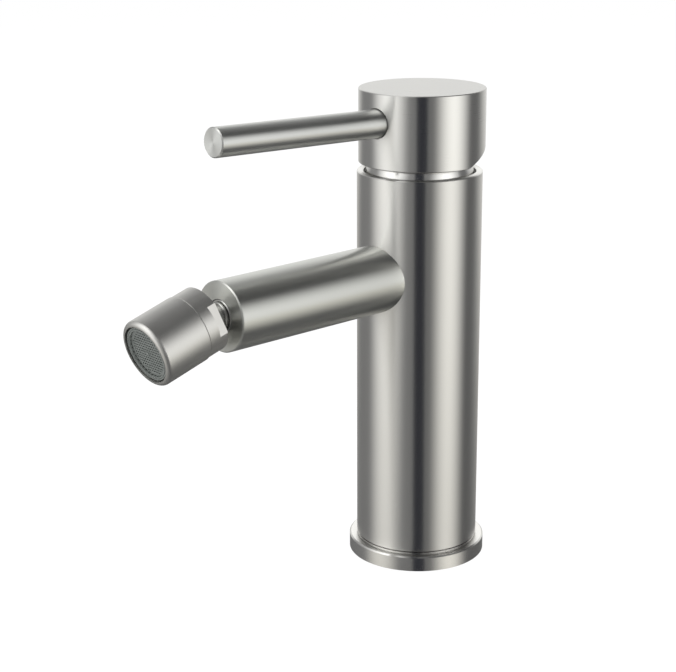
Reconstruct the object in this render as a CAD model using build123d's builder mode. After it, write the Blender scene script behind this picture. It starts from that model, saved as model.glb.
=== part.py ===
from build123d import *
import os
from math import cos, radians, sin, sqrt, tan

# Single-hole bidet mixer. Millimetres, +Z up, origin on the deck at the centre of the base,
# spout and lever towards -Y.

# Clearances shared by all pieces
running_fit = 0.05
seal_fit = 0.05
loose_fit = 0.15
overrun = 1.0

# Body sleeve
body_diameter = 46.0
body_wall = 2.4
body_top = 148.4
rim_chamfer = 0.3

# Base ring with its seal
ring_overhang = 2.85
ring_height = 5.7
ring_edge = 0.5
foot_joint = 0.8
foot_joint_inset = 1.4
foot_land_inset = 0.35
foot_land_height = 0.4
ring_spigot_height = 4.0
ring_spigot_wall = 2.45
base_seal_width = 2.5
base_seal_height = 1.8

# Waterway core
core_clearance = 0.2
core_drop = 2.2
foot_height = 14.0
waist_inset = 4.4
waist_slope = 3.0
block_below_spout = 14.0
cup_wall = 2.8
cup_thread_depth = 7.2
cup_thread_step = 1.2
o_ring_section = 1.5
o_ring_gland = 1.8
foot_o_ring_height = 8.5
sleeve_o_ring_below_top = 18.0

# Water channels and the holes under the deck face
inlet_out_share = 0.4786
inlet_forward_share = 0.148
channel_share = 0.148
inlet_thread_radius = 4.5
inlet_thread_depth = 12.0
stud_thread_radius = 3.4
stud_thread_depth = 16.0
stud_back_share = 0.484
outlet_back_share = 0.296
outlet_share = 0.194
waterway_radius = 3.8

# Cartridge, from the seat in the core up to the pivot of the lever
pivot_drop = 3.2
base_flange = 2.0
base_height = 4.3
fixed_disc_height = 3.5
disc_gap = 0.05
moving_disc_height = 2.95
carrier_height = 5.0
carrier_to_pivot = 4.7
housing_wall = 1.9
housing_neck_inset_share = 0.131
housing_neck_wall_share = 0.12
shoulder_drop = 1.0
neck_height = 2.9
turret_rise = 5.6
turret_flange_width = 1.6
turret_flange_height = 1.65
turret_base_gap = 0.2
disc_travel = 2.45
port_seal_width = 1.9
port_seal_height = 1.5
locating_pin_radius = 1.4
locating_pin_length = 1.8
locating_pin_inset = 3.7
locating_pin_angle = 26.0
key_width = 3.0
key_depth = 1.2
cavity_depth = 1.5
cavity_front = 0.6
cavity_rim = 2.6
lug_length = 1.6
lug_width = 4.0
lug_depth = 1.8

# Stem, its pin and the lower arm that moves the disc
stem_share = 0.3055
arm_length = 6.4
arm_radius = 1.8
arm_ball_radius = 2.2
arm_slot_play = 0.2
arm_floor = 0.3
pin_radius = 1.5
pin_end_gap = 0.6
socket_depth = 8.0

# Clamp nut and the domed cover over the cartridge
nut_collar_height = 0.8
nut_drive_height = 1.8
nut_drive_inset = 1.2
nut_slot_count = 6
nut_slot_width = 3.0
nut_slot_depth = 1.5
cover_rim_gap = 0.9
cover_wall = 1.5
cover_opening_radius = 13.2

# Handle cap, lever and grub screw
cap_overhang = 0.15
cap_set_back = 0.95
cap_gap = 3.0
cap_clearance = 0.6
cap_edge = 0.25
cut_start = 1.5
cut_angle = 21.5
lift_angle = 22.0
lever_diameter = 10.25
lever_rise = 1.9
lever_over_hollow = 1.22
lever_under_top = 11.37
lever_reach = 95.2
lever_edge = 0.4
lever_spot_play = 0.4
lever_spot_depth = 2.0
lever_thread_radius = 2.95
lever_thread_length = 8.3
thread_play = 0.05
thread_runout = 0.5
grub_above_lever = 1.6
grub_radius = 2.45
grub_inset = 3.3
grub_socket_flats = 2.5
grub_socket_sides = 6
grub_socket_depth = 3.0

# Spout
spout_diameter = 24.75
spout_below_seat = 13.65
spout_reach = 94.1
spout_edge = 0.4
spigot_radius = 10.2
spigot_play = 0.1
spot_margin = 0.3
saddle_gap = 0.05
spout_washer = 1.0
spout_thread_radius = 8.15
spout_thread_length = 7.5
spout_bore = 6.4
spout_end_wall = 8.4
spout_mouth_radius = 6.15
spout_mouth_depth = 2.6

# Ball stud and the ring on its neck
ball_offset = 9.1
ball_radius = 7.0
ball_neck_radius = 4.4
ball_bore_radius = 2.6
stud_radius = 5.0
stud_washer = 0.8
stud_collar_play = 0.2
stud_collar_width = 2.0
stud_collar_edge = 0.25
neck_ring_width = 1.1
neck_ring_radius = 5.35
neck_ring_edge = 0.25
neck_ring_gap = 0.15

# Swivelling spray head, measured along its own axis from the ball's centre
rest_tilt = 16.8
ball_fit = 0.08
nut_diameter = 23.4
nut_back = 2.75
nut_back_wall = 1.0
nut_length = 7.6
nut_thread_wall = 1.9
nut_opening_radius = 6.5
nut_ball_gap = 0.2
seam_chamfer = 0.2
flats_across = 20.7
flats_length = 3.3
flats_turn = 15.0
rear_seat_length = 2.6
seat_play = 0.05
front_seat_length = 3.3
front_seat_wall = 1.4
head_diameter = 23.9
head_front = 23.1
head_rim_round = 1.65
head_spigot_gap = 0.3
head_waist_radius = 5.6
head_waist_length = 1.8
head_chamber_radius = 9.0
insert_radius = 10.1
insert_play = 0.1
insert_length = 11.0
insert_recess = 0.6
insert_wall = 1.5
insert_rim_gap = 0.45
insert_rim_depth = 1.6
insert_groove_width = 0.3
insert_groove_depth = 0.25
insert_ledge_width = 1.0
insert_ledge_height = 0.5
screen_depth = 0.9
screen_height = 0.8
aerator_seal_height = 1.0
aerator_seal_width = 1.2
notch_count = 36
notch_width = 0.7
notch_depth = 0.45
notch_height = 0.4
jet_plate_height = 2.0
jet_count = 12
jet_radius = 0.6
jet_circle_share = 0.62
grille_pitch = 1.0
grille_hole = 0.66
grille_rim = 0.45
pip_radius = 0.55
pip_height = 0.5

# Heights that follow from the sizes above
body_radius = body_diameter / 2
sleeve_bore = body_radius - body_wall
sleeve_foot = ring_height + foot_joint
core_radius = sleeve_bore - core_clearance
core_top = body_top - core_drop
ring_bore_radius = sleeve_bore - seal_fit - ring_spigot_wall
foot_radius = ring_bore_radius - seal_fit
pivot_height = body_top - pivot_drop
carrier_top = pivot_height - carrier_to_pivot
carrier_foot = carrier_top - carrier_height
moving_disc_foot = carrier_foot - moving_disc_height
fixed_disc_foot = moving_disc_foot - disc_gap - fixed_disc_height
cartridge_seat = fixed_disc_foot - base_height
spout_height = cartridge_seat - spout_below_seat
cap_foot = body_top + cap_gap

# Radii of the cartridge, from the core inwards
cartridge_radius = core_radius - cup_wall - running_fit
nut_thread_radius = cartridge_radius + cup_thread_step
housing_bore = cartridge_radius - housing_wall
fixed_disc_radius = housing_bore - loose_fit
moving_disc_radius = housing_bore - disc_travel - 2 * loose_fit
neck_radius = cartridge_radius * (1 - housing_neck_inset_share)
turret_radius = neck_radius - cartridge_radius * housing_neck_wall_share - running_fit
stem_half = turret_radius * stem_share
stem_width = 2 * stem_half
pin_circle = cartridge_radius - locating_pin_inset
cap_radius = body_radius + cap_overhang
lever_radius = lever_diameter / 2
spout_radius = spout_diameter / 2

# Spherical parts about the lever's pivot
cover_foot_radius = sleeve_bore - cover_rim_gap
dome_radius = sqrt(cover_foot_radius**2 + pivot_drop**2)
cavity_radius = dome_radius + cap_clearance
lever_axis_height = pivot_height + cavity_radius + lever_over_hollow
cap_top = lever_axis_height + lever_under_top
cap_front = cap_radius - cap_set_back
cap_back = cap_radius + cap_set_back

deck = Plane.XY
body_section = Plane.XZ
channel_radius = cartridge_radius * channel_share
inlet_out = cartridge_radius * inlet_out_share
inlet_forward = cartridge_radius * inlet_forward_share
inlet_places = [(-inlet_out, -inlet_forward), (inlet_out, -inlet_forward)]
outlet_radius = cartridge_radius * outlet_share
outlet_set_back = cartridge_radius * outlet_back_share
stud_set_back = cartridge_radius * stud_back_share
outlet_place = (0, outlet_set_back)
pin_across = pin_circle * cos(radians(locating_pin_angle))
pin_back = pin_circle * sin(radians(locating_pin_angle))
pin_places = [(-pin_across, pin_back), (pin_across, pin_back)]

os.makedirs("parts", exist_ok=True)

# Base ring: stands on the deck, carries the sleeve on a stepped land and centres it with a spigot
ring_radius = body_radius + ring_overhang
land_radius = body_radius - foot_land_inset
step_radius = body_radius - foot_joint_inset
spigot_top = sleeve_foot + ring_spigot_height
ring_middle = (ring_radius + ring_bore_radius) / 2
seal_groove_width = base_seal_width + 2 * seal_fit

with BuildPart() as base_ring:
    with BuildSketch(body_section):
        with BuildLine():
            Polyline(
                (ring_bore_radius, 0),
                (ring_radius, 0),
                (ring_radius, ring_height),
                (land_radius, ring_height),
                (land_radius, ring_height + foot_land_height),
                (step_radius, ring_height + foot_land_height),
                (step_radius, sleeve_foot),
                (sleeve_bore - seal_fit, sleeve_foot),
                (sleeve_bore - seal_fit, spigot_top),
                (ring_bore_radius, spigot_top),
                close=True,
            )
        make_face()
    revolve(axis=Axis.Z)
    outer_edge = base_ring.edges().filter_by(GeomType.CIRCLE).group_by(SortBy.RADIUS)[-1].sort_by(Axis.Z)[-1]
    chamfer(outer_edge, length=ring_edge)
    with BuildSketch(deck):
        Circle(ring_middle + seal_groove_width / 2)
        Circle(ring_middle - seal_groove_width / 2, mode=Mode.SUBTRACT)
    extrude(amount=base_seal_height, mode=Mode.SUBTRACT)
base_ring.part.label = "base_ring"
export_step(base_ring.part, "parts/base_ring.step")

with BuildPart() as base_seal:
    with BuildSketch(deck):
        Circle(ring_middle + base_seal_width / 2)
        Circle(ring_middle - base_seal_width / 2, mode=Mode.SUBTRACT)
    extrude(amount=base_seal_height)
base_seal.part.label = "base_seal"
export_step(base_seal.part, "parts/base_seal.step")

# Body sleeve: the brushed tube that shows, with the hole that the spout's spigot passes through
with BuildPart() as body_sleeve:
    with BuildSketch(deck.offset(sleeve_foot)):
        Circle(body_radius)
        Circle(sleeve_bore, mode=Mode.SUBTRACT)
    extrude(amount=body_top - sleeve_foot)
    chamfer(body_sleeve.edges().filter_by(GeomType.CIRCLE), length=rim_chamfer)
    with BuildSketch(body_section):
        with Locations((0, spout_height)):
            Circle(spigot_radius + spigot_play)
    extrude(amount=body_radius + overrun, mode=Mode.SUBTRACT)
body_sleeve.part.label = "body_sleeve"
export_step(body_sleeve.part, "parts/body_sleeve.step")

# Waterway core: brass, with both inlets below and the cartridge's cup on top
waist_radius = core_radius - waist_inset
block_foot = spout_height - block_below_spout
cup_radius = cartridge_radius + running_fit
nut_thread_bore = nut_thread_radius + thread_play
spot_radius = spigot_radius + spigot_play
spot_face = sqrt(core_radius**2 - spot_radius**2) - spot_margin
port_depth = spout_thread_length + thread_runout
gland_depth = o_ring_section + seal_fit
sleeve_o_ring_place = core_top - sleeve_o_ring_below_top

with BuildPart() as valve_core:
    with BuildSketch(body_section):
        with BuildLine():
            Polyline(
                (0, 0),
                (foot_radius, 0),
                (foot_radius, foot_height),
                (waist_radius, foot_height + waist_slope),
                (waist_radius, block_foot - waist_slope),
                (core_radius, block_foot),
                (core_radius, core_top),
                (nut_thread_bore, core_top),
                (nut_thread_bore, core_top - cup_thread_depth),
                (cup_radius, core_top - cup_thread_depth),
                (cup_radius, cartridge_seat),
                (0, cartridge_seat),
                close=True,
            )
        make_face()
    revolve(axis=Axis.Z)
    with BuildSketch(deck.offset(cartridge_seat)):
        with Locations(*inlet_places):
            Circle(channel_radius)
    extrude(amount=-cartridge_seat, mode=Mode.SUBTRACT)
    with BuildSketch(deck):
        with Locations(*inlet_places):
            Circle(inlet_thread_radius)
    extrude(amount=inlet_thread_depth, mode=Mode.SUBTRACT)
    with BuildSketch(deck):
        with Locations((0, stud_set_back)):
            Circle(stud_thread_radius)
    extrude(amount=stud_thread_depth, mode=Mode.SUBTRACT)
    with BuildSketch(deck.offset(cartridge_seat)):
        with Locations(outlet_place):
            Circle(outlet_radius)
    extrude(amount=-spout_below_seat, mode=Mode.SUBTRACT)
    with BuildSketch(deck.offset(cartridge_seat)):
        with Locations(*pin_places):
            Circle(locating_pin_radius + running_fit)
    extrude(amount=-locating_pin_length - thread_runout, mode=Mode.SUBTRACT)
    with BuildSketch(body_section.offset(spot_face)):
        with Locations((0, spout_height)):
            Circle(spot_radius)
    extrude(amount=core_radius, mode=Mode.SUBTRACT)
    with BuildSketch(body_section.offset(spot_face)):
        with Locations((0, spout_height)):
            Circle(spout_thread_radius + thread_play)
    extrude(amount=-port_depth, mode=Mode.SUBTRACT)
    with BuildSketch(body_section.offset(spot_face)):
        with Locations((0, spout_height)):
            Circle(waterway_radius)
    extrude(amount=-spot_face - outlet_set_back, mode=Mode.SUBTRACT)
    with BuildSketch(deck.offset(foot_o_ring_height - o_ring_gland / 2)):
        Circle(foot_radius + overrun)
        Circle(foot_radius - gland_depth, mode=Mode.SUBTRACT)
    extrude(amount=o_ring_gland, mode=Mode.SUBTRACT)
    with BuildSketch(deck.offset(sleeve_o_ring_place - o_ring_gland / 2)):
        Circle(core_radius + overrun)
        Circle(core_radius + core_clearance - gland_depth, mode=Mode.SUBTRACT)
    extrude(amount=o_ring_gland, mode=Mode.SUBTRACT)
valve_core.part.label = "valve_core"
export_step(valve_core.part, "parts/valve_core.step")

# O-rings: one keeps the base ring on the foot, one keeps the sleeve from rattling
with BuildPart(deck.offset(foot_o_ring_height)) as foot_o_ring:
    Torus(ring_bore_radius - seal_fit - o_ring_section / 2, o_ring_section / 2)
foot_o_ring.part.label = "foot_o_ring"
export_step(foot_o_ring.part, "parts/foot_o_ring.step")

with BuildPart(deck.offset(sleeve_o_ring_place)) as sleeve_o_ring:
    Torus(sleeve_bore - seal_fit - o_ring_section / 2, o_ring_section / 2)
sleeve_o_ring.part.label = "sleeve_o_ring"
export_step(sleeve_o_ring.part, "parts/sleeve_o_ring.step")

# Spout: one bar bored from its root and coped to the sleeve, whose spigot and thread lock the
# sleeve to the core
washer_face = spot_face + spout_washer
spout_hollow_end = spout_reach - spout_end_wall
stud_hole_radius = stud_radius + thread_play

with BuildPart() as spout_tube:
    with BuildSketch(body_section):
        with Locations((0, spout_height)):
            Circle(spout_radius)
    extrude(amount=spout_reach)
    chamfer(spout_tube.faces().sort_by(Axis.Y)[0].edges(), length=spout_edge)
    with BuildSketch(deck):
        Circle(body_radius + saddle_gap)
    extrude(amount=body_top, mode=Mode.SUBTRACT)
    with BuildSketch(body_section.offset(washer_face)):
        with Locations((0, spout_height)):
            Circle(spigot_radius)
    extrude(amount=body_radius - washer_face + overrun)
    with BuildSketch(body_section.offset(washer_face)):
        with Locations((0, spout_height)):
            Circle(spout_thread_radius)
    extrude(amount=-spout_washer - spout_thread_length)
    with BuildSketch(body_section):
        with Locations((0, spout_height)):
            Circle(spout_bore)
    extrude(amount=spout_hollow_end, mode=Mode.SUBTRACT)
    with BuildSketch(body_section):
        with Locations((0, spout_height)):
            Circle(stud_hole_radius)
    extrude(amount=spout_reach, mode=Mode.SUBTRACT)
    with BuildSketch(body_section.offset(spout_reach)):
        with Locations((0, spout_height)):
            Circle(spout_mouth_radius)
    extrude(amount=-spout_mouth_depth, mode=Mode.SUBTRACT)
spout_tube.part.label = "spout_tube"
export_step(spout_tube.part, "parts/spout_tube.step")

with BuildPart() as spout_seal:
    with BuildSketch(body_section.offset(spot_face)):
        with Locations((0, spout_height)):
            Circle(spigot_radius)
            Circle(spout_thread_radius + seal_fit, mode=Mode.SUBTRACT)
    extrude(amount=spout_washer)
spout_seal.part.label = "spout_seal"
export_step(spout_seal.part, "parts/spout_seal.step")

# Ball stud: threaded root, collar on a washer in the spout's mouth, neck and bored ball
mouth_floor = spout_reach - spout_mouth_depth
collar_foot = mouth_floor + stud_washer
collar_front = collar_foot + stud_collar_width
ball_reach = spout_reach + ball_offset
ball_centre = (0, -ball_reach, spout_height)

with BuildPart() as ball_stud:
    with BuildSketch(body_section.offset(spout_hollow_end + thread_runout)):
        with Locations((0, spout_height)):
            Circle(stud_radius)
    extrude(amount=collar_foot - spout_hollow_end - thread_runout)
    with BuildSketch(body_section.offset(collar_foot)):
        with Locations((0, spout_height)):
            Circle(spout_mouth_radius - stud_collar_play)
    extrude(amount=stud_collar_width)
    collar_edges = ball_stud.edges().filter_by(GeomType.CIRCLE).group_by(SortBy.RADIUS)[-1]
    chamfer(collar_edges.sort_by(Axis.Y)[0], length=stud_collar_edge)
    with BuildSketch(body_section.offset(collar_front)):
        with Locations((0, spout_height)):
            Circle(ball_neck_radius)
    extrude(amount=ball_reach - collar_front)
    with Locations(ball_centre):
        Sphere(ball_radius)
    with BuildSketch(body_section):
        with Locations((0, spout_height)):
            Circle(ball_bore_radius)
    extrude(amount=ball_reach + ball_radius + overrun, mode=Mode.SUBTRACT)
ball_stud.part.label = "ball_stud"
export_step(ball_stud.part, "parts/ball_stud.step")

with BuildPart() as stud_seal:
    with BuildSketch(body_section.offset(mouth_floor)):
        with Locations((0, spout_height)):
            Circle(spout_mouth_radius - seal_fit)
            Circle(stud_hole_radius, mode=Mode.SUBTRACT)
    extrude(amount=stud_washer)
stud_seal.part.label = "stud_seal"
export_step(stud_seal.part, "parts/stud_seal.step")

with BuildPart() as neck_ring:
    with BuildSketch(body_section.offset(collar_front + neck_ring_gap)):
        with Locations((0, spout_height)):
            Circle(neck_ring_radius)
            Circle(ball_neck_radius + running_fit, mode=Mode.SUBTRACT)
    extrude(amount=neck_ring_width)
    chamfer(neck_ring.edges().filter_by(GeomType.CIRCLE).group_by(SortBy.RADIUS)[-1], length=neck_ring_edge)
neck_ring.part.label = "neck_ring"
export_step(neck_ring.part, "parts/neck_ring.step")

# Cartridge base: carries the port seals below and the fixed disc above, pinned to the core
housing_foot = cartridge_seat + base_flange

with BuildPart() as cartridge_base:
    with BuildSketch(deck.offset(cartridge_seat)):
        Circle(cartridge_radius)
    extrude(amount=base_flange)
    with BuildSketch(deck.offset(housing_foot)):
        Circle(housing_bore - running_fit)
    extrude(amount=base_height - base_flange)
    with BuildSketch(deck.offset(cartridge_seat)):
        with Locations(*pin_places):
            Circle(locating_pin_radius)
    extrude(amount=-locating_pin_length)
    with BuildSketch(deck.offset(cartridge_seat)):
        with Locations(*inlet_places):
            Circle(channel_radius)
        with Locations(outlet_place):
            Circle(outlet_radius)
    extrude(amount=base_height, mode=Mode.SUBTRACT)
    with BuildSketch(deck.offset(cartridge_seat)):
        with Locations(*inlet_places):
            Circle(channel_radius + port_seal_width + seal_fit)
        with Locations(outlet_place):
            Circle(outlet_radius + port_seal_width + seal_fit)
    extrude(amount=port_seal_height, mode=Mode.SUBTRACT)
cartridge_base.part.label = "cartridge_base"
export_step(cartridge_base.part, "parts/cartridge_base.step")

with BuildPart() as port_seals:
    with BuildSketch(deck.offset(cartridge_seat)):
        with Locations(*inlet_places):
            Circle(channel_radius + port_seal_width)
        with Locations(outlet_place):
            Circle(outlet_radius + port_seal_width)
        with Locations(*inlet_places):
            Circle(channel_radius, mode=Mode.SUBTRACT)
        with Locations(outlet_place):
            Circle(outlet_radius, mode=Mode.SUBTRACT)
    extrude(amount=port_seal_height)
port_seals.part.label = "port_seals"
export_step(port_seals.part, "parts/port_seals.step")

# Ceramic discs: the fixed one is keyed to the housing, the moving one has the mixing cavity
key_places = [(-housing_bore, 0), (housing_bore, 0)]

with BuildPart() as fixed_disc:
    with BuildSketch(deck.offset(fixed_disc_foot)):
        Circle(fixed_disc_radius)
        with Locations(*inlet_places):
            Circle(channel_radius, mode=Mode.SUBTRACT)
        with Locations(outlet_place):
            Circle(outlet_radius, mode=Mode.SUBTRACT)
        with Locations(*key_places):
            Rectangle(2 * (key_depth + loose_fit), key_width + 2 * loose_fit, mode=Mode.SUBTRACT)
    extrude(amount=fixed_disc_height)
fixed_disc.part.label = "fixed_disc"
export_step(fixed_disc.part, "parts/fixed_disc.step")

lug_places = [(lug_length / 2 - moving_disc_radius, 0), (moving_disc_radius - lug_length / 2, 0)]

with BuildPart() as moving_disc:
    with BuildSketch(deck.offset(moving_disc_foot)):
        Circle(moving_disc_radius)
    extrude(amount=moving_disc_height)
    with BuildSketch(deck.offset(moving_disc_foot)):
        Circle(moving_disc_radius - cavity_rim)
        with Locations((0, cavity_front)):
            Rectangle(
                2 * moving_disc_radius,
                2 * moving_disc_radius,
                align=(Align.CENTER, Align.MAX),
                mode=Mode.SUBTRACT,
            )
    extrude(amount=cavity_depth, mode=Mode.SUBTRACT)
    with BuildSketch(deck.offset(carrier_foot)):
        with Locations(*lug_places):
            Rectangle(lug_length + 2 * loose_fit, lug_width + 2 * loose_fit)
    extrude(amount=-lug_depth - loose_fit, mode=Mode.SUBTRACT)
moving_disc.part.label = "moving_disc"
export_step(moving_disc.part, "parts/moving_disc.step")

# Carrier: clipped over the moving disc, with the slot that the stem's lower arm pushes
arm_ball_height = pivot_height - arm_length
slot_floor = arm_ball_height - arm_ball_radius - arm_floor

with BuildPart() as disc_carrier:
    with BuildSketch(deck.offset(carrier_foot)):
        Circle(moving_disc_radius)
    extrude(amount=carrier_height)
    with BuildSketch(deck.offset(carrier_foot)):
        with Locations(*lug_places):
            Rectangle(lug_length, lug_width)
    extrude(amount=-lug_depth)
    with BuildSketch(deck.offset(carrier_top)):
        Rectangle(2 * (arm_ball_radius + loose_fit), 2 * (arm_ball_radius + arm_slot_play))
    extrude(amount=slot_floor - carrier_top, mode=Mode.SUBTRACT)
disc_carrier.part.label = "disc_carrier"
export_step(disc_carrier.part, "parts/disc_carrier.step")

# Turret: turns in the housing under its ledge and holds the stem on a cross pin
turret_foot = carrier_top + turret_base_gap
turret_top = pivot_height + turret_rise
lift = radians(lift_angle)
stem_swing = turret_rise * tan(lift) + stem_half / cos(lift)
slot_front = stem_half + loose_fit
slot_back = stem_swing + loose_fit

with BuildPart() as turret:
    with BuildSketch(deck.offset(turret_foot)):
        Circle(turret_radius)
    extrude(amount=turret_top - turret_foot)
    with BuildSketch(deck.offset(turret_foot)):
        Circle(turret_radius + turret_flange_width)
    extrude(amount=turret_flange_height)
    with BuildSketch(deck.offset(turret_foot)):
        with Locations((0, (slot_back - slot_front) / 2)):
            Rectangle(stem_width + 2 * loose_fit, slot_back + slot_front)
    extrude(amount=turret_top - turret_foot, mode=Mode.SUBTRACT)
    with BuildSketch(Plane.YZ):
        with Locations((0, pivot_height)):
            Circle(pin_radius + running_fit)
    extrude(amount=turret_radius + overrun, both=True, mode=Mode.SUBTRACT)
turret.part.label = "turret"
export_step(turret.part, "parts/turret.step")

with BuildPart() as stem_pin:
    with BuildSketch(Plane.YZ):
        with Locations((0, pivot_height)):
            Circle(pin_radius)
    extrude(amount=turret_radius - pin_end_gap, both=True)
stem_pin.part.label = "stem_pin"
export_step(stem_pin.part, "parts/stem_pin.step")

# Stem: square bar with a round pivot boss and a ball-ended lower arm
socket_top = pivot_height + cavity_radius + socket_depth

with BuildPart() as cartridge_stem:
    with BuildSketch(deck.offset(pivot_height)):
        Rectangle(stem_width, stem_width)
    extrude(amount=socket_top - pivot_height)
    with BuildSketch(Plane.YZ):
        with Locations((0, pivot_height)):
            Circle(stem_half)
    extrude(amount=stem_half, both=True)
    with BuildSketch(deck.offset(pivot_height)):
        Circle(arm_radius)
    extrude(amount=-arm_length)
    with Locations((0, 0, arm_ball_height)):
        Sphere(arm_ball_radius)
    with BuildSketch(Plane.YZ):
        with Locations((0, pivot_height)):
            Circle(pin_radius + running_fit)
    extrude(amount=stem_width, both=True, mode=Mode.SUBTRACT)
cartridge_stem.part.label = "cartridge_stem"
export_step(cartridge_stem.part, "parts/cartridge_stem.step")

# Cartridge housing: shell over the discs, with the ledge above the turret's flange
ledge = turret_foot + turret_flange_height + 2 * running_fit
shoulder = pivot_height - shoulder_drop
housing_top = shoulder + neck_height

with BuildPart() as cartridge_housing:
    with BuildSketch(body_section):
        with BuildLine():
            Polyline(
                (housing_bore, housing_foot),
                (cartridge_radius, housing_foot),
                (cartridge_radius, shoulder),
                (neck_radius, shoulder),
                (neck_radius, housing_top),
                (turret_radius + running_fit, housing_top),
                (turret_radius + running_fit, ledge),
                (housing_bore, ledge),
                close=True,
            )
        make_face()
    revolve(axis=Axis.Z)
    with BuildSketch(deck.offset(fixed_disc_foot)):
        with Locations(*key_places):
            Rectangle(2 * key_depth, key_width)
        Circle(housing_bore + housing_wall / 2, mode=Mode.INTERSECT)
    extrude(amount=fixed_disc_height)
cartridge_housing.part.label = "cartridge_housing"
export_step(cartridge_housing.part, "parts/cartridge_housing.step")

# Clamp nut: screwed into the cup, its collar centres the domed cover
cover_bore_radius = dome_radius - cover_wall
collar_top = core_top + nut_collar_height
nut_top = collar_top + nut_drive_height
collar_radius = sqrt(cover_bore_radius**2 - (collar_top - pivot_height) ** 2) - running_fit
drive_radius = sqrt(cover_bore_radius**2 - (nut_top - pivot_height) ** 2) - nut_drive_inset

with BuildPart() as clamp_nut:
    with BuildSketch(body_section):
        with BuildLine():
            Polyline(
                (neck_radius + running_fit, shoulder),
                (nut_thread_radius, shoulder),
                (nut_thread_radius, core_top),
                (collar_radius, core_top),
                (collar_radius, collar_top),
                (drive_radius, collar_top),
                (drive_radius, nut_top),
                (neck_radius + running_fit, nut_top),
                close=True,
            )
        make_face()
    revolve(axis=Axis.Z)
    with BuildSketch(deck.offset(nut_top)):
        with PolarLocations(drive_radius, nut_slot_count):
            Rectangle(2 * (drive_radius - neck_radius + overrun), nut_slot_width)
    extrude(amount=-nut_slot_depth, mode=Mode.SUBTRACT)
clamp_nut.part.label = "clamp_nut"
export_step(clamp_nut.part, "parts/clamp_nut.step")

# Domed cover: a zone of a sphere about the pivot, so that the cap can tilt over it
with BuildPart() as cartridge_cover:
    with Locations((0, 0, pivot_height)):
        Sphere(dome_radius)
        Sphere(cover_bore_radius, mode=Mode.SUBTRACT)
    with BuildSketch(deck.offset(core_top)):
        Circle(dome_radius + overrun)
    extrude(amount=-2 * dome_radius, mode=Mode.SUBTRACT)
    with BuildSketch(deck.offset(core_top)):
        Circle(cover_opening_radius)
    extrude(amount=2 * dome_radius, mode=Mode.SUBTRACT)
cartridge_cover.part.label = "cartridge_cover"
export_step(cartridge_cover.part, "parts/cartridge_cover.step")

# Handle cap: set back a little, hollowed by a sphere about the pivot and cut away below its back
cut_reach = cap_back + overrun
cut_rise = (cut_reach - cut_start) * tan(radians(cut_angle))
spot_floor = cap_front - lever_spot_depth
grub_height = lever_axis_height + grub_above_lever
rise = radians(lever_rise)
lever_plane = Plane(origin=(0, 0, lever_axis_height), x_dir=(1, 0, 0), z_dir=(0, -cos(rise), sin(rise)))

with BuildPart() as handle_cap:
    with BuildSketch(deck.offset(cap_foot)):
        with Locations((0, cap_set_back)):
            Circle(cap_radius)
    extrude(amount=cap_top - cap_foot)
    chamfer(handle_cap.edges().filter_by(GeomType.CIRCLE), length=cap_edge)
    with Locations((0, 0, pivot_height)):
        Sphere(cavity_radius, mode=Mode.SUBTRACT)
    with BuildSketch(Plane.YZ):
        with BuildLine():
            Polyline(
                (cut_start, cap_foot),
                (cut_reach, cap_foot + cut_rise),
                (cut_reach, cap_foot - overrun),
                (cut_start, cap_foot - overrun),
                close=True,
            )
        make_face()
    extrude(amount=cap_radius + overrun, both=True, mode=Mode.SUBTRACT)
    with BuildSketch(deck.offset(pivot_height)):
        Rectangle(stem_width + 2 * running_fit, stem_width + 2 * running_fit)
    extrude(amount=socket_top - pivot_height, mode=Mode.SUBTRACT)
    with BuildSketch(lever_plane.offset(spot_floor)):
        Circle(lever_radius + lever_spot_play)
    extrude(amount=lever_spot_depth + overrun, mode=Mode.SUBTRACT)
    with BuildSketch(lever_plane.offset(spot_floor)):
        Circle(lever_thread_radius + thread_play)
    extrude(amount=-lever_thread_length - thread_runout, mode=Mode.SUBTRACT)
    with BuildSketch(body_section):
        with Locations((0, grub_height)):
            Circle(grub_radius + thread_play)
    extrude(amount=-cap_back - overrun, mode=Mode.SUBTRACT)
handle_cap.part.label = "handle_cap"
export_step(handle_cap.part, "parts/handle_cap.step")

with BuildPart() as lever_rod:
    with BuildSketch(lever_plane.offset(spot_floor)):
        Circle(lever_radius)
    extrude(amount=lever_reach - spot_floor)
    chamfer(lever_rod.faces().sort_by(Axis.Y)[0].edges(), length=lever_edge)
    with BuildSketch(lever_plane.offset(spot_floor)):
        Circle(lever_thread_radius)
    extrude(amount=-lever_thread_length)
lever_rod.part.label = "lever_rod"
export_step(lever_rod.part, "parts/lever_rod.step")

with BuildPart() as grub_screw:
    with BuildSketch(body_section.offset(-stem_half)):
        with Locations((0, grub_height)):
            Circle(grub_radius)
    extrude(amount=stem_half + grub_inset - cap_back)
    with BuildSketch(body_section.offset(grub_inset - cap_back)):
        with Locations((0, grub_height)):
            RegularPolygon(grub_socket_flats / 2, grub_socket_sides, major_radius=False)
    extrude(amount=grub_socket_depth, mode=Mode.SUBTRACT)
grub_screw.part.label = "grub_screw"
export_step(grub_screw.part, "parts/grub_screw.step")

# Spray head, built along its own axis: the head plane looks out of the head from the ball
tilt = radians(rest_tilt)
head_plane = Plane(origin=ball_centre, x_dir=(1, 0, 0), z_dir=(0, -cos(tilt), -sin(tilt)))
head_section = Plane(origin=ball_centre, x_dir=(1, 0, 0), z_dir=(0, sin(tilt), -cos(tilt)))
head_axis = Axis(ball_centre, (0, -cos(tilt), -sin(tilt)))
nut_radius = nut_diameter / 2
nut_face = nut_length - nut_back
nut_bore = nut_radius - nut_thread_wall
seat_back = nut_back_wall - nut_back
spigot_back = seat_back + seat_play + rear_seat_length + head_spigot_gap
seat_floor = spigot_back + front_seat_length
head_radius = head_diameter / 2
head_spigot_radius = nut_bore - thread_play
front_seat_radius = head_spigot_radius - front_seat_wall

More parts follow.
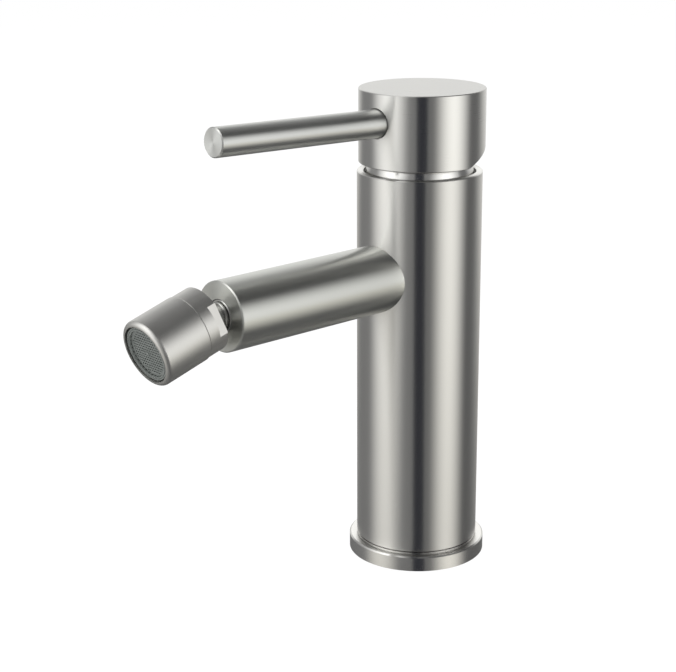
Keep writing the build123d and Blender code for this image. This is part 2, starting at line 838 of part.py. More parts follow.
with BuildPart() as rear_seat:
    with BuildSketch(head_plane.offset(seat_back + seat_play)):
        Circle(nut_bore - seal_fit)
    extrude(amount=rear_seat_length)
    with Locations(ball_centre):
        Sphere(ball_radius + ball_fit, mode=Mode.SUBTRACT)
rear_seat.part.label = "rear_seat"
export_step(rear_seat.part, "parts/rear_seat.step")

with BuildPart() as front_seat:
    with BuildSketch(head_plane.offset(spigot_back)):
        Circle(front_seat_radius - seal_fit)
    extrude(amount=front_seat_length - seat_play)
    with Locations(ball_centre):
        Sphere(ball_radius + ball_fit, mode=Mode.SUBTRACT)
front_seat.part.label = "front_seat"
export_step(front_seat.part, "parts/front_seat.step")

with BuildPart() as swivel_nut:
    with BuildSketch(head_plane.offset(-nut_back)):
        Circle(nut_radius)
    extrude(amount=nut_length)
    chamfer(swivel_nut.edges().filter_by(GeomType.CIRCLE), length=seam_chamfer)
    with BuildSketch(head_plane.offset(seat_back)):
        Circle(nut_bore)
    extrude(amount=nut_length, mode=Mode.SUBTRACT)
    with BuildSketch(head_plane.offset(-nut_back)):
        Circle(nut_opening_radius)
    extrude(amount=nut_length, mode=Mode.SUBTRACT)
    with Locations(ball_centre):
        Sphere(ball_radius + nut_ball_gap, mode=Mode.SUBTRACT)
    with BuildSketch(head_plane.offset(-nut_back)):
        with PolarLocations(flats_across / 2 + nut_radius / 2, 2, start_angle=flats_turn):
            Rectangle(nut_radius, nut_diameter)
    extrude(amount=flats_length, mode=Mode.SUBTRACT)
swivel_nut.part.label = "swivel_nut"
export_step(swivel_nut.part, "parts/swivel_nut.step")

# Head housing with its rounded rim, and the seat and seal shoulders inside
insert_front = head_front - insert_recess
insert_back = insert_front - insert_length
seal_shoulder = insert_back - aerator_seal_height
insert_bore = insert_radius + insert_play

with BuildPart() as spray_housing:
    with BuildSketch(head_section):
        with BuildLine():
            Polyline(
                (front_seat_radius, spigot_back),
                (head_spigot_radius, spigot_back),
                (head_spigot_radius, nut_face),
                (head_radius, nut_face),
                (head_radius, head_front),
                (insert_bore, head_front),
                (insert_bore, seal_shoulder),
                (head_chamber_radius, seal_shoulder),
                (head_chamber_radius, seat_floor + head_waist_length),
                (head_waist_radius, seat_floor + head_waist_length),
                (head_waist_radius, seat_floor),
                (front_seat_radius, seat_floor),
                close=True,
            )
        make_face()
    revolve(axis=head_axis)
    outer_rims = spray_housing.edges().filter_by(GeomType.CIRCLE).group_by(SortBy.RADIUS)[-1]
    chamfer(outer_rims.sort_by(head_axis)[0], length=seam_chamfer)
    outer_rims = spray_housing.edges().filter_by(GeomType.CIRCLE).group_by(SortBy.RADIUS)[-1]
    fillet(outer_rims.sort_by(head_axis)[-1], radius=head_rim_round)
spray_housing.part.label = "spray_housing"
export_step(spray_housing.part, "parts/spray_housing.step")

with BuildPart() as aerator_seal:
    with BuildSketch(head_plane.offset(seal_shoulder)):
        Circle(insert_radius)
        Circle(insert_radius - aerator_seal_width, mode=Mode.SUBTRACT)
    extrude(amount=aerator_seal_height)
aerator_seal.part.label = "aerator_seal"
export_step(aerator_seal.part, "parts/aerator_seal.step")

# Aerator insert: a castellated cup with a grooved rim, and a ledge between jet plate and grille
tube_bore = insert_radius - insert_wall
rim_radius = insert_radius - insert_rim_gap
rim_back = insert_front - insert_rim_depth
groove_radius = (rim_radius + tube_bore) / 2
screen_front = insert_front - screen_depth
screen_back = screen_front - screen_height

with BuildPart() as aerator_insert:
    with BuildSketch(head_section):
        with BuildLine():
            Polyline(
                (tube_bore, insert_back),
                (insert_radius, insert_back),
                (insert_radius, rim_back),
                (rim_radius, rim_back),
                (rim_radius, insert_front),
                (tube_bore, insert_front),
                (tube_bore, screen_back),
                (tube_bore - insert_ledge_width, screen_back),
                (tube_bore - insert_ledge_width, screen_back - insert_ledge_height),
                (tube_bore, screen_back - insert_ledge_height),
                close=True,
            )
        make_face()
    revolve(axis=head_axis)
    with BuildSketch(head_plane.offset(insert_front)):
        Circle(groove_radius + insert_groove_width / 2)
        Circle(groove_radius - insert_groove_width / 2, mode=Mode.SUBTRACT)
    extrude(amount=-insert_groove_depth, mode=Mode.SUBTRACT)
    with BuildSketch(head_plane.offset(screen_back)):
        with PolarLocations(tube_bore, notch_count):
            Rectangle(2 * notch_depth, notch_width)
    extrude(amount=screen_height + notch_height, mode=Mode.SUBTRACT)
aerator_insert.part.label = "aerator_insert"
export_step(aerator_insert.part, "parts/aerator_insert.step")

jet_plate_radius = tube_bore - seal_fit
jet_plate_front = screen_back - insert_ledge_height

with BuildPart() as jet_plate:
    with BuildSketch(head_plane.offset(jet_plate_front)):
        Circle(jet_plate_radius)
        with PolarLocations(jet_plate_radius * jet_circle_share, jet_count):
            Circle(jet_radius, mode=Mode.SUBTRACT)
    extrude(amount=-jet_plate_height)
jet_plate.part.label = "jet_plate"
export_step(jet_plate.part, "parts/jet_plate.step")

# Grille: square lattice of open cells inside a plain rim, with a small pip at the centre
grille_radius = tube_bore - seal_fit
cell_reach = grille_radius - grille_rim - grille_hole / sqrt(2)
cell_steps = int(cell_reach / grille_pitch)
cell_range = range(-cell_steps, cell_steps + 1)
cell_centres = [(i * grille_pitch, j * grille_pitch) for i in cell_range for j in cell_range]
open_cells = [c for c in cell_centres if 0 < sqrt(c[0] ** 2 + c[1] ** 2) < cell_reach]

with BuildPart() as aerator_grille:
    with BuildSketch(head_plane.offset(screen_back)):
        Circle(grille_radius)
        with Locations(*open_cells):
            Rectangle(grille_hole, grille_hole, mode=Mode.SUBTRACT)
    extrude(amount=screen_height)
    with BuildSketch(head_plane.offset(screen_back + screen_height)):
        Circle(pip_radius)
    extrude(amount=pip_height)
aerator_grille.part.label = "aerator_grille"
export_step(aerator_grille.part, "parts/aerator_grille.step")
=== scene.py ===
import bpy
import bmesh
from math import radians
from mathutils import Matrix, Vector

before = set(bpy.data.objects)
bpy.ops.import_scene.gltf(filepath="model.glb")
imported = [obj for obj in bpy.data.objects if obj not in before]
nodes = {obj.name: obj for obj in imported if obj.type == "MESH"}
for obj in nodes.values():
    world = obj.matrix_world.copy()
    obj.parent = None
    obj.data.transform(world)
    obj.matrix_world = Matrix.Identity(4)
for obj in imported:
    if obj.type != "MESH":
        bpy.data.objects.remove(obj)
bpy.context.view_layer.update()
print("frame loaded:", len(nodes), "nodes")

scene = bpy.context.scene
scene.view_settings.view_transform = "Standard"

# the photo's camera, from a fit to the mixer's outlines: metres, degrees, lens in millimetres
camera = {
    "place": (0.41998, -0.42234, 0.26635),
    "lookAt": (-0.02139, -0.02127, 0.08441),
    "roll": -0.271,
    "lens": 87.99,
    "sensor": 36.0,
    "far": 20.0,
}

camData = bpy.data.cameras.new("photoCamera")
camData.lens = camera["lens"]
camData.sensor_width = camera["sensor"]
camData.clip_end = camera["far"]
cam = bpy.data.objects.new("photoCamera", camData)
scene.collection.objects.link(cam)
sight = (Vector(camera["lookAt"]) - Vector(camera["place"])).normalized()
side = sight.cross(Vector((0, 0, 1))).normalized()
upward = side.cross(sight)
turn = Matrix((side, upward, -sight)).transposed().to_4x4()
roll = Matrix.Rotation(radians(camera["roll"]), 4, "Z")
cam.matrix_world = Matrix.Translation(camera["place"]) @ turn @ roll
scene.camera = cam
print("camera set")


# small helpers for node trees
def plug(tree, node, inputs):
    for name, value in inputs.items():
        if isinstance(value, bpy.types.NodeSocket):
            tree.links.new(value, node.inputs[name])
        else:
            node.inputs[name].default_value = value


def addNode(tree, kind, inputs=None, **settings):
    node = tree.nodes.new(kind)
    for name, value in settings.items():
        setattr(node, name, value)
    plug(tree, node, inputs or {})
    return node


def mathNode(tree, operation, first, second=0.0):
    return addNode(tree, "ShaderNodeMath", {0: first, 1: second}, operation=operation).outputs[0]


def vectorNode(tree, operation, first, second=(0, 0, 0)):
    node = addNode(tree, "ShaderNodeVectorMath", {0: first, 1: second}, operation=operation)
    return node.outputs["Value" if operation in ("DOT_PRODUCT", "LENGTH") else "Vector"]


def scaled(tree, vector, amount):
    inputs = {0: vector, "Scale": amount}
    return addNode(tree, "ShaderNodeVectorMath", inputs, operation="SCALE").outputs["Vector"]


def partOf(tree, vector, letter):
    return addNode(tree, "ShaderNodeSeparateXYZ", {0: vector}).outputs[letter]


def objectCoords(tree):
    return addNode(tree, "ShaderNodeTexCoord").outputs["Object"]


def rampNode(tree, value, span, atLow=0.0, atHigh=1.0):
    limits = {"From Min": span[0], "From Max": span[1], "To Min": atLow, "To Max": atHigh}
    inputs = {"Value": value, **limits}
    node = addNode(tree, "ShaderNodeMapRange", inputs, interpolation_type="SMOOTHSTEP")
    return node.outputs["Result"]


# sockets 6 and 7 of a Mix node are its two colours, output 2 is the mixed one
def mixColour(tree, factor, first, second):
    inputs = {0: factor, 6: first, 7: second}
    return addNode(tree, "ShaderNodeMix", inputs, data_type="RGBA").outputs[2]


def mixShader(tree, factor, first, second):
    inputs = {0: factor, 1: first.outputs[0], 2: second.outputs[0]}
    return addNode(tree, "ShaderNodeMixShader", inputs)


def opaque(colour):
    return colour + (1.0,)


def newGroup(name, inputs, outputs):
    group = bpy.data.node_groups.new(name, "ShaderNodeTree")
    for label, kind, value in inputs:
        socket = group.interface.new_socket(name=label, in_out="INPUT", socket_type=kind)
        socket.default_value = value
    for label in outputs:
        group.interface.new_socket(name=label, in_out="OUTPUT", socket_type="NodeSocketFloat")
    return group, group.nodes.new("NodeGroupInput"), group.nodes.new("NodeGroupOutput")


def dress(material, *names):
    for name in names:
        mesh = nodes[name].data
        mesh.materials.clear()
        mesh.materials.append(material)


# the studio: a pale floor, a soft box each side of the camera with a dark strip between them,
# a bright sheet behind the mixer and grey surroundings; azimuths and lifts are in degrees
studio = {
    "facing": -44.84,                # azimuth that the others count from, near the camera's
    "surround": 0.280,               # grey that metal sees all round
    "leftSurround": 0.071,           # how much paler that is on the left, and darker on the right
    "surroundLow": (-31.0, 8.0),     # it dims downwards between these lifts
    "lowShare": 0.61,                # what is left of it below them
    "surroundHigh": (10.0, 42.0),    # and grows upwards between these
    "highShare": 1.50,               # to this many times itself above them
    "rightDim": 0.88,                # share that it loses there on the far right
    "rightSpread": 0.5,              # power at which that loss grows from the middle outwards
    "overhead": 0.125,               # grey straight above
    "overheadFrom": (50.0, 72.0),
    "fill": 0.62,                    # what plain surfaces get from all round
    "warm": (1.0, 0.975, 0.895),     # light near the deck
    "plain": (1.0, 1.0, 0.985),      # light higher up
    "warmLift": (-0.20, 0.06),       # heights in metres between which one turns to the other
}


def azimuthOf(tree, direction, facing):
    inputs = {"Vector": direction, "Angle": radians(-facing)}
    turned = addNode(tree, "ShaderNodeVectorRotate", inputs, rotation_type="Z_AXIS").outputs[0]
    return mathNode(tree, "ARCTAN2", partOf(tree, turned, "Y"), partOf(tree, turned, "X"))


def between(tree, value, limits, atLow=0.0, atHigh=1.0):
    return rampNode(tree, value, [radians(limit) for limit in limits], atLow, atHigh)


def shinyRay(tree, ray):
    return mathNode(tree, "ADD", ray["Is Glossy Ray"], ray["Is Transmission Ray"])


def buildWorld():
    world = bpy.data.worlds.new("studioWorld")
    world.use_nodes = True
    scene.world = world
    tree = world.node_tree
    tree.nodes.clear()
    direction = addNode(tree, "ShaderNodeTexCoord").outputs["Generated"]
    lift = mathNode(tree, "ARCSINE", partOf(tree, direction, "Z"))
    aside = mathNode(tree, "SINE", azimuthOf(tree, direction, studio["facing"]))
    surround = mathNode(tree, "MULTIPLY", aside, -studio["leftSurround"])
    surround = mathNode(tree, "ADD", surround, studio["surround"])
    lowShare = between(tree, lift, studio["surroundLow"], studio["lowShare"], 1.0)
    surround = mathNode(tree, "MULTIPLY", surround, lowShare)
    highShare = between(tree, lift, studio["surroundHigh"], 1.0, studio["highShare"])
    surround = mathNode(tree, "MULTIPLY", surround, highShare)
    rightward = mathNode(tree, "MAXIMUM", aside, 0.0)
    rightward = mathNode(tree, "POWER", rightward, studio["rightSpread"])
    loss = between(tree, lift, studio["surroundHigh"], 0.0, studio["rightDim"])
    loss = mathNode(tree, "MULTIPLY", rightward, loss)
    surround = mathNode(tree, "MULTIPLY", surround, mathNode(tree, "SUBTRACT", 1.0, loss))
    above = between(tree, lift, studio["overheadFrom"])
    surround = mathNode(tree, "MULTIPLY", surround, mathNode(tree, "SUBTRACT", 1.0, above))
    zenith = mathNode(tree, "MULTIPLY", above, studio["overhead"])
    surround = mathNode(tree, "ADD", surround, zenith)
    # the camera sees plain white, metal and glass see the greys, plain surfaces an even fill
    ray = addNode(tree, "ShaderNodeLightPath").outputs
    reflected = mathNode(tree, "MULTIPLY", shinyRay(tree, ray), surround)
    strength = mathNode(tree, "ADD", ray["Is Camera Ray"], reflected)
    filled = mathNode(tree, "MULTIPLY", ray["Is Diffuse Ray"], studio["fill"])
    strength = mathNode(tree, "ADD", strength, filled)
    inputs = {"Color": (1, 1, 1, 1), "Strength": strength}
    background = addNode(tree, "ShaderNodeBackground", inputs)
    addNode(tree, "ShaderNodeOutputWorld", {"Surface": background.outputs[0]})


def flatPiece(name, half):
    work = bmesh.new()
    bmesh.ops.create_grid(work, x_segments=2, y_segments=2, size=1.0)
    bmesh.ops.scale(work, vec=(half[0], half[1], 1), verts=work.verts)
    mesh = bpy.data.meshes.new(name)
    work.to_mesh(mesh)
    work.free()
    flat = bpy.data.objects.new(name, mesh)
    scene.collection.objects.link(flat)
    material = bpy.data.materials.new(name)
    material.use_nodes = True
    material.node_tree.nodes.clear()
    mesh.materials.append(material)
    return flat, material


# an upright sheet that only reflections find, never sampled as a lamp
def standingSheet(name, size):
    sheet, material = flatPiece(name, size["half"])
    around = Matrix.Rotation(radians(studio["facing"] + size["azimuth"]), 4, "Z")
    outward = Matrix.Translation((size["distance"], 0, size["middle"]))
    upright = Matrix.Rotation(radians(90), 4, "Z") @ Matrix.Rotation(radians(90), 4, "X")
    lean = Matrix.Rotation(radians(size.get("lean", 0.0)), 4, "Z")
    sheet.matrix_world = around @ outward @ upright @ lean
    sheet.visible_camera = False
    sheet.visible_diffuse = False
    sheet.visible_shadow = False
    sheet.visible_transmission = False
    material.cycles.emission_sampling = "NONE"
    return material.node_tree


# a sheet that glows fully within its core and fades to nothing at the edge of an ellipse
def softBox(name, box):
    tree = standingSheet(name, box)
    place = objectCoords(tree)
    stretch = (1 / box["half"][0], 1 / box["half"][1], 0)
    reach = vectorNode(tree, "LENGTH", vectorNode(tree, "MULTIPLY", place, stretch))
    mask = rampNode(tree, reach, (box["core"], 1.0), 1.0, 0.0)
    warmSpan = [height - box["middle"] for height in studio["warmLift"]]
    tint = rampNode(tree, partOf(tree, place, "Y"), warmSpan)
    colour = mixColour(tree, tint, opaque(studio["warm"]), opaque(studio["plain"]))
    glow = addNode(tree, "ShaderNodeEmission", {"Color": colour, "Strength": box["strength"]})
    clear = addNode(tree, "ShaderNodeBsdfTransparent")
    mixed = mixShader(tree, mask, clear, glow)
    addNode(tree, "ShaderNodeOutputMaterial", {"Surface": mixed.outputs[0]})


buildWorld()

# sheets, with the place of their centre and half their width and height
leftBox = {
    "azimuth": -62.5,
    "distance": 0.65,
    "middle": 0.78,
    "half": (0.645, 1.70),
    "core": 0.0,
    "strength": 2.14,
}
softBox("leftBox", leftBox)

rightBox = {
    "azimuth": 58.1,
    "distance": 1.000,
    "middle": 0.125,
    "half": (0.895, 1.179),
    "core": 0.0,
    "strength": 1.78,
}
softBox("rightBox", rightBox)

backSheet = {
    "azimuth": 173.5,
    "distance": 1.153,
    "middle": 0.442,
    "half": (2.200, 0.959),
    "core": 0.061,
    "strength": 1.43,
}
softBox("backSheet", backSheet)

darkStrip = {
    "azimuth": 1.0,
    "distance": 0.22,
    "middle": 0.10,
    "half": (0.0365, 0.50),
    "lean": 4.0,
    "colour": (0.036, 0.038, 0.047),
}


def buildStrip():
    tree = standingSheet("darkStrip", darkStrip)
    inputs = {"Color": opaque(darkStrip["colour"]), "Strength": 1.0}
    dark = addNode(tree, "ShaderNodeEmission", inputs)
    addNode(tree, "ShaderNodeOutputMaterial", {"Surface": dark.outputs[0]})


buildStrip()

paleFloor = {
    "half": (6.0, 6.0),
    "grey": 0.96,
    "white": 0.84,    # share of the floor that shows plain white to the camera
    "glow": 1.07,
}


def buildFloor():
    floor, material = flatPiece("paleFloor", paleFloor["half"])
    tree = material.node_tree
    ray = addNode(tree, "ShaderNodeLightPath").outputs
    grey = (paleFloor["grey"],) * 3
    shaded = addNode(tree, "ShaderNodeBsdfDiffuse", {"Color": opaque(grey)})
    inputs = {"Color": (1, 1, 1, 1), "Strength": paleFloor["glow"]}
    white = addNode(tree, "ShaderNodeEmission", inputs)
    clear = addNode(tree, "ShaderNodeBsdfTransparent")
    share = mathNode(tree, "MULTIPLY", ray["Is Camera Ray"], paleFloor["white"])
    seen = mixShader(tree, share, shaded, white)
    # metal and glass look through the floor at the studio's surroundings
    mixed = mixShader(tree, shinyRay(tree, ray), seen, clear)
    addNode(tree, "ShaderNodeOutputMaterial", {"Surface": mixed.outputs[0]})


buildFloor()


# lamps that light plain surfaces; metal doesn't mirror them
def softLamp(name, lamp):
    data = bpy.data.lights.new(name, "AREA")
    data.shape = "SQUARE"
    data.size = lamp["size"]
    data.energy = lamp["power"]
    made = bpy.data.objects.new(name, data)
    scene.collection.objects.link(made)
    made.location = lamp["place"]
    aim = Vector(lamp["target"]) - Vector(lamp["place"])
    made.rotation_euler = aim.to_track_quat("-Z", "Y").to_euler()
    made.visible_glossy = False


overhead = {"place": (0.1, 0.2, 1.2), "target": (0, 0, 0), "size": 1.2, "power": 7.0}
softLamp("overhead", overhead)

frontLeft = {"place": (-0.5, -0.9, 0.7), "target": (0, -0.03, 0.08), "size": 0.8, "power": 3.0}
softLamp("frontLeft", frontLeft)
print("studio built")


shadeSpan = (0.30, 0.70)   # noise between these turns the deep colour into the light one

grain = {
    "lineShare": 0.5,              # of the mask: the rest is the broader clouds
    "fineness": 9000.0,            # brushed lines to the metre, about
    "drift": 40.0,                 # how fast they change along their length
    "detail": 3.0,
    "rough": 0.6,
    "cloudScale": 55.0,
    "cloudDetail": 4.0,
    "cloudRough": 0.55,
    "endFace": (0.6, 0.8),         # cosine to the axis at which a side turns into an end face
    "roughnessSpread": 0.015,
    "bump": 0.004,
    "depth": 0.0001,
    "edge": (0.85, 0.85, 0.85),    # tint of reflections at grazing angles
}


# lines left by turning and brushing round an axis: rings on the side, circles on an end face
def buildLatheGrain():
    group, start, end = newGroup(
        "latheGrain",
        (
            ("Centre", "NodeSocketVector", (0, 0, 0)),
            ("Axis", "NodeSocketVector", (0, 0, 1)),
            ("Fineness", "NodeSocketFloat", grain["fineness"]),
            ("Drift", "NodeSocketFloat", grain["drift"]),
        ),
        ("Lines", "Clouds", "End Face"),
    )
    axis = start.outputs["Axis"]
    place = vectorNode(group, "SUBTRACT", objectCoords(group), start.outputs["Centre"])
    height = vectorNode(group, "DOT_PRODUCT", place, axis)
    outward = vectorNode(group, "SUBTRACT", place, scaled(group, axis, height))
    reach = vectorNode(group, "LENGTH", outward)
    slow = scaled(group, place, start.outputs["Drift"])
    noise = {"Vector": slow, "Scale": 1.0, "Detail": grain["detail"], "Roughness": grain["rough"]}
    fine = []
    for distance in (height, reach):
        lines = addNode(group, "ShaderNodeTexNoise", noise, noise_dimensions="4D")
        plug(group, lines, {"W": mathNode(group, "MULTIPLY", distance, start.outputs["Fineness"])})
        fine.append(lines.outputs[0])
    normal = addNode(group, "ShaderNodeNewGeometry").outputs["Normal"]
    facing = mathNode(group, "ABSOLUTE", vectorNode(group, "DOT_PRODUCT", normal, axis))
    isEnd = rampNode(group, facing, grain["endFace"])
    inputs = {0: isEnd, 2: fine[0], 3: fine[1]}
    lines = addNode(group, "ShaderNodeMix", inputs, data_type="FLOAT")
    cloud = {"Scale": grain["cloudScale"], "Detail": grain["cloudDetail"]}
    inputs = {"Vector": place, "Roughness": grain["cloudRough"], **cloud}
    clouds = addNode(group, "ShaderNodeTexNoise", inputs)
    plug(group, end, {"Lines": lines.outputs[0], "Clouds": clouds.outputs[0], "End Face": isEnd})
    return group


mottling = {
    "detail": 4.0,
    "pitScale": 2.5,           # times the scale of the mottle
    "roughnessSpread": 0.12,
    "depth": 0.0001,
}


# fine mottling of moulded and pressed stock
def buildFineMottle():
    inputs = (("Scale", "NodeSocketFloat", 400.0),)
    group, start, end = newGroup("fineMottle", inputs, ("Mottle", "Pits"))
    coords = objectCoords(group)
    scale = start.outputs["Scale"]
    noise = {"Vector": coords, "Scale": scale, "Detail": mottling["detail"]}
    mottle = addNode(group, "ShaderNodeTexNoise", noise).outputs[0]
    pitScale = mathNode(group, "MULTIPLY", scale, mottling["pitScale"])
    pits = addNode(group, "ShaderNodeTexVoronoi", {"Vector": coords, "Scale": pitScale})
    plug(group, end, {"Mottle": mottle, "Pits": pits.outputs["Distance"]})
    return group


latheGrain = buildLatheGrain()
fineMottle = buildFineMottle()
print("shared effects built")


# where each piece's axis lies, round which it was turned and brushed (metres)
spoutHeight = 0.11105
upwards = {"Centre": (0, 0, 0), "Axis": (0, 0, 1)}
capUpwards = {"Centre": (0, 0.00095, 0), "Axis": (0, 0, 1)}
alongSpout = {"Centre": (0, 0, spoutHeight), "Axis": (0, 1, 0)}
alongLever = {"Centre": (0, 0, 0.16698), "Axis": (0, -0.99945, 0.03316)}
alongHead = {"Centre": (0, -0.1032, spoutHeight), "Axis": (0, 0.957319, 0.289032)}

sameWay = 0.994      # cosine past which a normal belongs to the round side
neverRound = 1.0     # a radius in metres that no piece reaches
quarterTurn = 0.25


# a round side past the given radius takes its normal from its axis, so that the seam of its
# mesh doesn't show
def roundNormal(tree, place, axis, radius):
    height = vectorNode(tree, "DOT_PRODUCT", place, axis)
    outward = vectorNode(tree, "SUBTRACT", place, scaled(tree, axis, height))
    reach = vectorNode(tree, "LENGTH", outward)
    spaces = {"vector_type": "NORMAL", "convert_from": "OBJECT", "convert_to": "WORLD"}
    turned = addNode(tree, "ShaderNodeVectorTransform", {0: outward}, **spaces).outputs[0]
    turned = vectorNode(tree, "NORMALIZE", turned)
    given = addNode(tree, "ShaderNodeNewGeometry").outputs["Normal"]
    agree = vectorNode(tree, "DOT_PRODUCT", given, turned)
    isRound = mathNode(tree, "GREATER_THAN", agree, sameWay)
    isOuter = mathNode(tree, "GREATER_THAN", reach, radius)
    return mixColour(tree, mathNode(tree, "MULTIPLY", isRound, isOuter), given, turned)


def newMaterial(name):
    material = bpy.data.materials.new(name)
    material.use_nodes = True
    tree = material.node_tree
    return material, tree, tree.nodes["Principled BSDF"]


# colour and roughness that follow one mask; a finish may also darken its top with painted shade
def shadeSurface(tree, surface, shade, finish, spread):
    tone = rampNode(tree, shade, shadeSpan)
    colour = mixColour(tree, tone, opaque(finish["deep"]), opaque(finish["light"]))
    # painted shade: the colour goes dark above a given height, where the piece sits in the shaded
    # gap under the cap
    if "gapShade" in finish:
        top = finish["gapShade"]
        inGapShade = rampNode(tree, partOf(tree, objectCoords(tree), "Z"), top["span"])
        colour = mixColour(tree, inGapShade, colour, opaque(top["colour"]))
    smooth = finish["roughness"] - spread / 2
    dull = finish["roughness"] + spread / 2
    roughness = rampNode(tree, shade, shadeSpan, smooth, dull)
    plug(tree, surface, {"Base Color": colour, "Roughness": roughness})


def metalFinish(name, finish):
    material, tree, surface = newMaterial(name)
    lay = finish["lay"]
    inputs = {"Fineness": grain["fineness"], "Drift": grain["drift"], **lay}
    marks = addNode(tree, "ShaderNodeGroup", inputs, node_tree=latheGrain).outputs
    fine = mathNode(tree, "MULTIPLY", marks["Lines"], grain["lineShare"])
    broad = mathNode(tree, "MULTIPLY", marks["Clouds"], 1.0 - grain["lineShare"])
    shade = mathNode(tree, "ADD", fine, broad)
    shadeSurface(tree, surface, shade, finish, grain["roughnessSpread"])
    place = vectorNode(tree, "SUBTRACT", objectCoords(tree), lay["Centre"])
    normal = roundNormal(tree, place, lay["Axis"], finish.get("round", neverRound))
    relief = {"Strength": grain["bump"], "Distance": grain["depth"], "Height": marks["Lines"]}
    bump = addNode(tree, "ShaderNodeBump", {"Normal": normal, **relief})
    # reflections blur across the direction of the brushing
    along = vectorNode(tree, "CROSS_PRODUCT", lay["Axis"], place)
    if "endLines" in finish:
        along = mixColour(tree, marks["End Face"], along, opaque(finish["endLines"]))
    plug(tree, surface, {
        "Metallic": 1.0,
        "Specular Tint": opaque(grain["edge"]),
        "Normal": bump.outputs[0],
        "Tangent": along,
        "Anisotropic": finish["brushing"],
        "Anisotropic Rotation": quarterTurn,
    })
    return material


# metals, with the lay that they were brushed round, a radius just inside their round side and
# how far the brushing draws reflections out
metals = {
    "bodySteel": {
        "pieces": ("body_sleeve",),
        "lay": upwards,
        "round": 0.0226,
        "light": (0.668, 0.662, 0.642),
        "deep": (0.656, 0.650, 0.630),
        "roughness": 0.30,
        "brushing": 1.0,
    },
    "ringSteel": {
        "pieces": ("base_ring",),
        "lay": upwards,
        "round": 0.0254,
        "light": (0.715, 0.707, 0.688),
        "deep": (0.690, 0.683, 0.664),
        "roughness": 0.24,
        "brushing": 0.9,
    },
    "capSteel": {
        "pieces": ("handle_cap",),
        "lay": capUpwards,
        "endLines": (0.709, -0.705, 0.0),   # its top is brushed straight, along this
        "round": 0.0228,
        "light": (0.662, 0.658, 0.640),
        "deep": (0.654, 0.650, 0.632),
        "roughness": 0.28,
        "brushing": 0.95,
    },
    "leverSteel": {
        "pieces": ("lever_rod",),
        "lay": alongLever,
        "round": 0.0049,
        "light": (0.690, 0.696, 0.678),
        "deep": (0.676, 0.682, 0.664),
        "roughness": 0.31,
        "brushing": 0.9,
    },
    "spoutSteel": {
        "pieces": ("spout_tube",),
        "lay": alongSpout,
        "round": 0.0121,
        "light": (0.665, 0.672, 0.642),
        "deep": (0.655, 0.662, 0.632),
        "roughness": 0.32,
        "brushing": 0.9,
    },
    "headSteel": {
        "pieces": ("swivel_nut", "spray_housing"),
        "lay": alongHead,
        "round": 0.0113,
        "light": (0.665, 0.660, 0.640),
        "deep": (0.635, 0.630, 0.610),
        "roughness": 0.42,
        "brushing": 0.0,
    },
    "domeSteel": {
        "pieces": ("cartridge_cover",),
        "lay": upwards,
        "light": (0.70, 0.695, 0.68),
        "deep": (0.67, 0.665, 0.65),
        "roughness": 0.18,
        "brushing": 0.6,
    },
    "ballSteel": {
        "pieces": ("ball_stud", "neck_ring"),
        "lay": alongSpout,
        "light": (0.55, 0.55, 0.53),
        "deep": (0.48, 0.48, 0.47),
        "roughness": 0.24,
        "brushing": 0.6,
    },
    "screwSteel": {
        "pieces": ("grub_screw", "stem_pin", "cartridge_stem"),
        "lay": upwards,
        "light": (0.42, 0.42, 0.43),
        "deep": (0.36, 0.36, 0.37),
        "roughness": 0.32,
        "brushing": 0.3,
    },
    "castBrass": {
        "pieces": ("valve_core", "clamp_nut"),
        "lay": upwards,
        "light": (0.70, 0.54, 0.27),
        "deep": (0.60, 0.44, 0.20),
        "gapShade": {"span": (0.138, 0.142), "colour": (0.11, 0.105, 0.10)},   # painted shade where the top shows in the gap between body and cap
        "roughness": 0.30,
        "brushing": 0.3,
    },
}
for name, finish in metals.items():
    dress(metalFinish(name, finish), *finish["pieces"])
print("metal dressed")


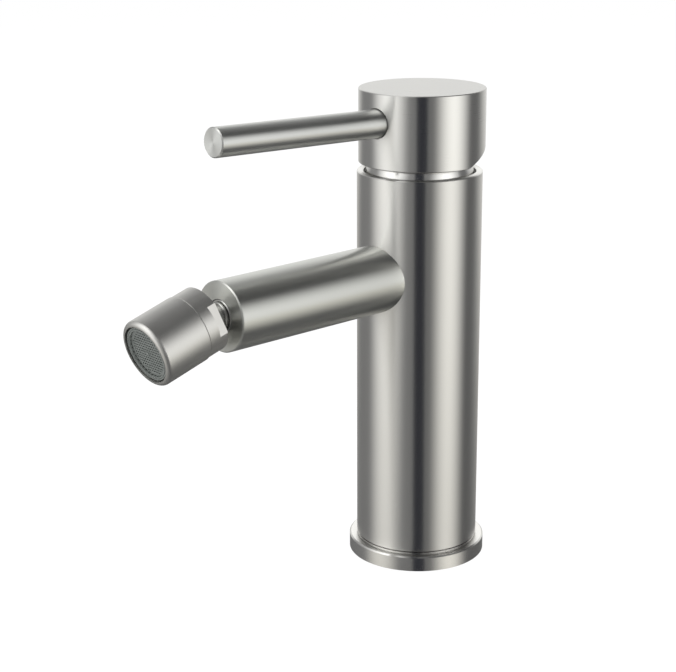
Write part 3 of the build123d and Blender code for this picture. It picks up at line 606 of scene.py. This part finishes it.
def mouldedFinish(name, finish):
    material, tree, surface = newMaterial(name)
    inputs = {"Scale": finish["scale"]}
    marks = addNode(tree, "ShaderNodeGroup", inputs, node_tree=fineMottle).outputs
    shadeSurface(tree, surface, marks["Mottle"], finish, mottling["roughnessSpread"])
    relief = {"Strength": finish["bump"], "Distance": mottling["depth"], "Height": marks["Pits"]}
    plug(tree, surface, {"Normal": addNode(tree, "ShaderNodeBump", relief).outputs[0]})
    return material


# plastic, rubber and ceramic
mouldings = {
    "blackRubber": {
        "pieces": ("base_seal", "foot_o_ring", "sleeve_o_ring", "spout_seal", "stud_seal",
                   "port_seals", "aerator_seal"),
        "light": (0.035, 0.035, 0.036),
        "deep": (0.018, 0.018, 0.019),
        "roughness": 0.62,
        "scale": 700.0,
        "bump": 0.25,
    },
    "greyMesh": {
        "pieces": ("aerator_insert", "aerator_grille"),
        "light": (0.245, 0.262, 0.250),
        "deep": (0.200, 0.217, 0.205),
        "roughness": 0.45,
        "scale": 900.0,
        "bump": 0.06,
    },
    # the jet plate's own grey, made paler than the grille's as painted light that lifts the shade
    # behind the grille
    "paleGrey": {
        "pieces": ("jet_plate",),
        "light": (0.72, 0.75, 0.73),
        "deep": (0.62, 0.65, 0.63),
        "roughness": 0.50,
        "scale": 900.0,
        "bump": 0.06,
    },
    "paleAcetal": {
        "pieces": ("cartridge_base", "cartridge_housing"),
        "light": (0.78, 0.78, 0.75),
        "deep": (0.68, 0.68, 0.65),
        "roughness": 0.45,
        "scale": 500.0,
        "bump": 0.10,
    },
    "darkAcetal": {
        "pieces": ("disc_carrier", "turret", "rear_seat", "front_seat"),
        "light": (0.06, 0.06, 0.065),
        "deep": (0.035, 0.035, 0.04),
        "roughness": 0.42,
        "scale": 500.0,
        "bump": 0.10,
    },
    "lappedCeramic": {
        "pieces": ("fixed_disc", "moving_disc"),
        "light": (0.84, 0.83, 0.80),
        "deep": (0.78, 0.77, 0.74),
        "roughness": 0.14,
        "scale": 900.0,
        "bump": 0.03,
    },
}
for name, finish in mouldings.items():
    dress(mouldedFinish(name, finish), *finish["pieces"])
print("plastic, rubber and ceramic dressed")
